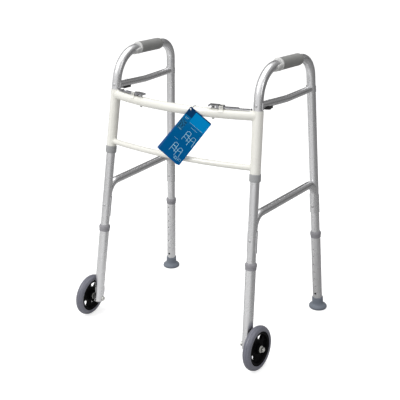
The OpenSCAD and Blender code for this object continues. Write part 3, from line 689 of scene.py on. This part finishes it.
# ------------------------------------------------------------------ hang tag
# Card coordinates: a across and b down from the corner above the hole, in metres.
CARD_W, CARD_H = 0.072, 0.154
CARD_THICK = 0.0006
CARD_CORNER_R = 0.0025
CARD_COLUMNS, CARD_ROWS = 36, 77
CARD_ROLL = math.radians(36.6)          # the card hangs turned by this
HOLE_DROP = 0.0075                      # from the card's corner straight down to the hole
HOLE_R = 0.0024
HOLE_SKIP_R = 0.0013                    # grid points this close leave a gap for the hole
BACK_ROLL = math.radians(-2.2)          # extra turn of the rear sheet about the hole
BACK_GAP = 0.00105

TAG_HOLE = Vector(JOINTS["tag_swing"]["pos_m"])
TAG_ACROSS = -Vector(JOINTS["tag_swing"]["axis"]).normalized()
TAG_OUT = TAG_ACROSS.cross(UP).normalized()
if TAG_OUT.y > 0:
    TAG_OUT = -TAG_OUT                  # out of the face, towards the front


def card_point(a, b, lift, rear=False):
    """Place of a card coordinate, lifted off the middle of its sheet."""
    cos_roll, sin_roll = math.cos(CARD_ROLL), math.sin(CARD_ROLL)
    flat = Vector((a, -b))
    q = Vector((flat.x * cos_roll + flat.y * sin_roll, -flat.x * sin_roll + flat.y * cos_roll))
    if rear:
        hole = Vector((0, -HOLE_DROP))
        q = q - hole
        ca, sa = math.cos(BACK_ROLL), math.sin(BACK_ROLL)
        q = Vector((q.x * ca - q.y * sa, q.x * sa + q.y * ca)) + hole
        lift -= BACK_GAP
    # cupped across, slightly twisted, lower part lifting forward
    u, w = a / CARD_W - 0.5, b / CARD_H - 0.5
    cup = 0.0016 * (u * u)
    twist = 0.0010 * math.sin(w * 3.0) * u
    kick = 0.0022 * max(0.0, w - 0.1) ** 2 * 4
    corner = TAG_HOLE + UP * HOLE_DROP
    return corner + TAG_ACROSS * q.x + UP * q.y + TAG_OUT * (cup - twist + kick + lift)


def card_front_material():
    """Printed blue face; x runs across the card and y down it, both 0 to 1."""
    g, shader = new_material("card_front")
    uv = g.add("ShaderNodeUVMap", uv_map="card").outputs[0]
    parts = g.add("ShaderNodeSeparateXYZ", {0: uv}).outputs
    x, y = parts[0], parts[1]

    def below(value, limit):
        return g.math("LESS_THAN", value, limit)

    def above(value, limit):
        return g.math("GREATER_THAN", value, limit)

    def both(first, second):
        return g.math("MULTIPLY", first, second)

    def printed(base, mask, opacity, ink):
        return g.mix(g.math("MULTIPLY", mask, opacity), base, ink)

    color = g.ramp(y, [(0.0, (0.002, 0.140, 0.360)), (0.45, (0.001, 0.100, 0.275)),
                       (1.0, (0.001, 0.085, 0.255))])
    # lighter field at the head
    color = printed(color, both(above(x, 0.30), below(y, 0.235)), opacity=0.85,
                    ink=(0.001, 0.230, 0.54))
    # dark strip down the left of the head
    color = printed(color, both(below(x, 0.30), below(y, 0.16)), opacity=0.9,
                    ink=(0.004, 0.03, 0.10))
    # narrow dark band along the top edge
    color = printed(color, below(y, 0.022), opacity=0.92, ink=(0.003, 0.025, 0.09))
    # mottled dark block on the left
    stretched = g.add("ShaderNodeMapping", {"Vector": uv, "Scale": (9, 18, 1)}).outputs[0]
    mottle = g.noise(stretched, scale=2.2, detail=3.0, rough=0.6)
    block = both(below(x, 0.26), both(above(y, 0.26), below(y, 0.46)))
    color = printed(color, block, opacity=0.9,
                    ink=g.ramp(mottle, [(0.38, (0.006, 0.02, 0.035)),
                                        (0.60, (0.02, 0.17, 0.36))]))
    vector = g.coords()
    fibre = g.noise(vector, scale=900.0, detail=3.0, rough=0.6)
    scuff_sheen_noise = g.noise(vector, scale=60.0, detail=5.0, rough=0.6)
    # lighter cyan patches: scuffs, with a painted sheen on the card face
    scuff_and_sheen_mask = g.remap(scuff_sheen_noise, source=(0.62, 0.8), target=(0.0, 0.05))
    g.feed(shader, {"Base Color": g.mix(scuff_and_sheen_mask, color, (0.25, 0.50, 0.72)),
                    "Roughness": g.remap(scuff_sheen_noise, source=(0.3, 0.7), target=(0.26, 0.40)),
                    "Specular IOR Level": 0.0})
    g.bump(shader, fibre, strength=0.06, distance=0.0003)


card_front_material()
plastic("card_back", (0.004, 0.09, 0.30), rough=0.4, grain=700.0)
plastic("print_white", (0.38, 0.68, 0.80), rough=0.6, grain=700.0, specular=0.1)
plastic("print_deep", (0.003, 0.03, 0.10), rough=0.5, grain=700.0)


def build_card(name, rear, face_material, replaces=()):
    """One sheet: front and back grids warped to round corners and a hole, and the edges."""
    bm = bmesh.new()
    uv = bm.loops.layers.uv.new("card")
    hole = Vector((HOLE_DROP * math.sin(CARD_ROLL), HOLE_DROP * math.cos(CARD_ROLL)))

    def warp(a, b):
        nearest = Vector((min(max(a, CARD_CORNER_R), CARD_W - CARD_CORNER_R),
                          min(max(b, CARD_CORNER_R), CARD_H - CARD_CORNER_R)))
        out = Vector((a, b)) - nearest
        if out.length > CARD_CORNER_R:
            out = out.normalized() * CARD_CORNER_R
        point = nearest + out
        away = point - hole
        if away.length < HOLE_R:
            point = hole + away.normalized() * HOLE_R
        return point

    front, back, in_hole = {}, {}, set()
    for i in range(CARD_COLUMNS + 1):
        for j in range(CARD_ROWS + 1):
            a, b = CARD_W * i / CARD_COLUMNS, CARD_H * j / CARD_ROWS
            if (Vector((a, b)) - hole).length < HOLE_SKIP_R:
                in_hole.add((i, j))
            a, b = warp(a, b)
            front[i, j] = bm.verts.new(card_point(a, b, CARD_THICK / 2, rear))
            back[i, j] = bm.verts.new(card_point(a, b, -CARD_THICK / 2, rear))
    for i in range(CARD_COLUMNS):
        for j in range(CARD_ROWS):
            quad = [(i, j), (i + 1, j), (i + 1, j + 1), (i, j + 1)]
            if in_hole.intersection(quad):
                continue
            for index, (grid, keys) in enumerate(((front, quad), (back, quad[::-1]))):
                face = bm.faces.new([grid[k] for k in keys])
                face.material_index = index
                for loop, k in zip(face.loops, keys):
                    loop[uv].uv = (k[0] / CARD_COLUMNS, k[1] / CARD_ROWS)
    key_of = {vert: key for key, vert in front.items()}
    rims = [e for e in bm.edges if e.is_boundary and all(v in key_of for v in e.verts)]
    for edge in rims:
        v0, v1 = edge.verts
        face = bm.faces.new((v0, v1, back[key_of[v1]], back[key_of[v0]]))
        face.material_index = 1
    for vert in [v for v in bm.verts if not v.link_faces]:
        bm.verts.remove(vert)
    add_piece(name, bm, [face_material, "card_back"], "tag", sharp=50,
              replaces=replaces)


build_card("tag_card_front", False, "card_front", replaces=("hang_tag",))
build_card("tag_card_back", True, "card_back")

# ------------------------------------------------------------------ print on the card
PRINT_LIFT = 0.00036
PRINT_THICK = 0.00006
LINE_STEPS = 6
SKETCH_LINE, RULE_LINE, NOTE_LINE = 0.0008, 0.0005, 0.0004      # line widths
SKETCHES = [(0.046, 0.070, 0.0130), (0.036, 0.117, 0.0122)]     # centre a, centre b, scale
# lines of the walking frame sketch, in its own units: from x, y to x, y, with y down
SKETCH = [
    (-1, 1.5, -0.9, -0.7), (-0.9, -0.7, -0.6, -1), (-0.6, -1, 0.0, -0.85),
    (0.0, -0.85, 0.05, 1.2), (0.55, 1.9, 0.65, -0.3), (0.65, -0.3, 0.95, -0.6),
    (0.95, -0.6, 1.5, -0.45), (1.5, -0.45, 1.6, 1.5), (-0.93, -0.1, 0.62, 0.3),
    (-0.96, 0.6, 0.6, 1.0), (-0.93, 0.0, 0.02, -0.2), (0.62, 0.45, 1.53, 0.2)]
NOTE_A, NOTE_B, NOTE_PITCH = 0.046, 0.137, 0.0022               # block of short rules
NOTE_LENGTHS = (0.020, 0.026, 0.016, 0.022, 0.012)
# single rules: (b, from a, to a)
RULES = [(0.0368, 0.024, 0.066), (0.0460, 0.034, 0.056), (0.0965, 0.014, 0.026),
         (0.0305, 0.005, 0.017), (0.0340, 0.005, 0.014), (0.0680, 0.006, 0.018)]


def add_line(bm, a0, b0, a1, b1, width):
    """Thin raised line that follows the curl of the card."""
    start = Vector((a0, b0))
    run = Vector((a1 - a0, b1 - b0))
    t = run.normalized()
    across = Vector((-t.y, t.x)) * width / 2
    sections = []
    for i in range(LINE_STEPS + 1):
        c = start + run * (i / LINE_STEPS)
        sections.append([
            bm.verts.new(card_point(c.x + s * across.x, c.y + s * across.y, PRINT_LIFT + h))
            for s, h in ((1, 0), (1, PRINT_THICK), (-1, PRINT_THICK), (-1, 0))])
    bm.faces.new(sections[0])
    for first, second in zip(sections, sections[1:]):
        bridge(bm, first, second)
    bm.faces.new(sections[-1][::-1])


def build_print():
    bm = bmesh.new()
    for a, b, scale in SKETCHES:
        for x0, y0, x1, y1 in SKETCH:
            add_line(bm, a + x0 * scale, b + y0 * scale, a + x1 * scale, b + y1 * scale,
                     SKETCH_LINE)
    for i, length in enumerate(NOTE_LENGTHS):
        b = NOTE_B + NOTE_PITCH * i
        add_line(bm, NOTE_A, b, NOTE_A + length, b, NOTE_LINE)
    for b, a0, a1 in RULES:
        add_line(bm, a0, b, a1, b, RULE_LINE)
    add_piece("tag_print_lines", bm, ["print_white"], "tag", sharp=50)


build_print()

# ------------------------------------------------------------------ tag cord
CORD_R = 0.0007
CORD_LOOP_R = 0.0137                    # cord centre round the upper bar
CORD_ARC_STEPS = 40
CORD_SAG = 0.0016                       # in the run behind the bar


def smooth_loop(points, passes):
    for _ in range(passes):
        n = len(points)
        points = [(points[i - 1] + points[i] * 2 + points[(i + 1) % n]) / 4 for i in range(n)]
    return points


def build_cord():
    """One closed loop over the upper bar and through the hole of the card."""
    height, _, bow = UPPER_BAR
    _, centre_y, radius = bar_arc(SIDES["right"], height, bow)
    bar_y = centre_y - math.sqrt(radius * radius - TAG_HOLE.x ** 2)
    arc = []
    for i in range(CORD_ARC_STEPS + 1):
        # from the front of the bar, over its top, to its back
        angle = math.radians(205 - 232 * i / CORD_ARC_STEPS)
        arc.append(Vector((TAG_HOLE.x, bar_y + CORD_LOOP_R * math.cos(angle),
                           height + CORD_LOOP_R * math.sin(angle))))
    start = TAG_HOLE + TAG_OUT * 0.0022
    end = TAG_HOLE - TAG_OUT * 0.0030
    path = [TAG_HOLE, start] + [start.lerp(arc[0], k / 6) for k in range(1, 6)] + arc
    for k in range(1, 8):
        sag = Vector((0, 0, -CORD_SAG * math.sin(math.pi * k / 8)))
        path.append(arc[-1].lerp(end, k / 8) + sag)
    path = smooth_loop(path + [end], passes=3)
    n = len(path)
    fine = [path[i].lerp(path[(i + 1) % n], k / 3) for i in range(n) for k in range(3)]
    bm = bmesh.new()
    add_tube(bm, smooth_loop(fine, passes=2), CORD_R, count=8, closed=True)
    add_piece("tag_cord", bm, ["tie_plastic"], "front", sharp=60,
              replaces=("tag_tie",))


build_cord()

# ------------------------------------------------------------------ studio
SWEEP_HALF_WIDTH = 6.0
SWEEP_NEAR, SWEEP_FAR = -3.6, 3.2       # ends of the flat floor
SWEEP_BEND_R = 1.6
SWEEP_TOP = 5.5
SWEEP_DROP = 0.0002                     # keeps the floor just under the feet
SWEEP_TURN = math.radians(33.0)


def floor_material():
    """Even light grey to the camera; to other rays a bounce card with painted light, darker on
    the camera's right and brighter on its left.
    """
    g, shader = new_material("studio_floor")
    cloud = g.noise(g.coords(), scale=3.0, detail=3.0, rough=0.5)
    camera_ray = g.add("ShaderNodeLightPath").outputs["Is Camera Ray"]
    seen = g.ramp(cloud, [(0.3, (0.60, 0.60, 0.60)), (0.7, (0.62, 0.62, 0.62))])
    across, _ = g.leftward(g.add("ShaderNodeNewGeometry").outputs["Position"])
    # (position from right to left, grey)
    # painted light: the grey that reflections see falls from the left of the floor to its right
    painted_light_greys = ((0.0, 0.27), (0.26, 0.30), (0.50, 0.60), (0.62, 0.66), (1.0, 0.55))
    bounce = g.ramp(g.remap(across, source=(-1.2, 1.6), target=(0.0, 1.0)),
                    [(position, (grey, grey, grey)) for position, grey in painted_light_greys])
    g.feed(shader, {"Base Color": g.mix(camera_ray, bounce, seen), "Roughness": 0.9,
                    "Specular IOR Level": 0.1, "Emission Color": (1, 1, 1),
                    "Emission Strength": g.math("MULTIPLY", camera_ray, 0.66)})


def build_sweep():
    """Floor that bends up into a back wall."""
    profile = [(SWEEP_NEAR, 0.0), (SWEEP_FAR, 0.0)]
    for step in range(1, 11):
        angle = step * math.pi / 20
        profile.append((SWEEP_FAR + SWEEP_BEND_R * math.sin(angle),
                        SWEEP_BEND_R - SWEEP_BEND_R * math.cos(angle)))
    profile.append((SWEEP_FAR + SWEEP_BEND_R, SWEEP_TOP))
    turn = Matrix.Rotation(SWEEP_TURN, 4, "Z")
    bm = bmesh.new()
    rows = [[bm.verts.new(turn @ Vector((x, y, z - SWEEP_DROP)))
             for x in (-SWEEP_HALF_WIDTH, SWEEP_HALF_WIDTH)] for y, z in profile]
    for near, far in zip(rows, rows[1:]):
        bm.faces.new((near[0], near[1], far[1], far[0]))
    sweep = mesh_object("studio_sweep", bm, [MATERIALS["studio_floor"]])
    shade_smooth(sweep.data)


def build_world():
    """White to the camera; as light, bright on its left, dark on its right, lifted overhead."""
    world = bpy.data.worlds.new("studio")
    bpy.context.scene.world = world
    world.use_nodes = True
    g = Graph(world.node_tree)
    output = g.add("ShaderNodeOutputWorld")
    white = {"Color": (1, 1, 1), "Strength": 1.0}
    seen = g.add("ShaderNodeBackground", white)
    left, parts = g.leftward(g.add("ShaderNodeTexCoord").outputs["Generated"])
    overhead = g.math("MULTIPLY", g.math("MAXIMUM", parts[2], 0.0), 0.42)
    room = g.math("ADD", g.remap(left, source=(-0.75, 0.35), target=(0.14, 0.76)), overhead)
    light = g.add("ShaderNodeBackground", {"Color": (1, 1, 1), "Strength": room})
    camera_ray = g.add("ShaderNodeLightPath").outputs["Is Camera Ray"]
    mixed = g.add("ShaderNodeMixShader",
                  {0: camera_ray, 1: light.outputs[0], 2: seen.outputs[0]})
    g.feed(output, {0: mixed.outputs[0]})


def add_area(name, place, target, size, power):
    light = bpy.data.lights.new(name, "AREA")
    light.shape = "RECTANGLE"
    light.size, light.size_y = size
    light.energy = power
    light.color = (1, 1, 1)
    obj = bpy.data.objects.new(name, light)
    bpy.context.scene.collection.objects.link(obj)
    obj.location = place
    aim = Vector(target) - Vector(place)
    obj.rotation_euler = aim.to_track_quat("-Z", "Y").to_euler()


def add_camera():
    data = bpy.data.cameras.new("cam")
    data.sensor_width = 36.0
    data.lens = 73.33344
    data.clip_start, data.clip_end = 0.05, 50
    camera = bpy.data.objects.new("cam", data)
    bpy.context.scene.collection.objects.link(camera)
    camera.location = (1.22398, -1.90709, 1.22227)
    look_down, turn = 20.495, 33.012        # degrees below level, degrees about Z
    camera.rotation_euler = (math.radians(90 - look_down), 0, math.radians(turn))
    bpy.context.scene.camera = camera


floor_material()
build_sweep()
build_world()
add_area("key", place=(-1.2, -2.5, 3.1), target=(0, 0, 0.4), size=(0.7, 1.8), power=44)
add_area("fill", place=(2.9, -0.6, 1.9), target=(0, 0, 0.4), size=(0.8, 1.6), power=6)
add_area("top", place=(0.0, 0.0, 3.0), target=(0, 0, 0.3), size=(2.4, 2.4), power=20)
add_camera()

view = bpy.context.scene.view_settings
view.view_transform = "Standard"
view.look = "None"
view.exposure = 0.0
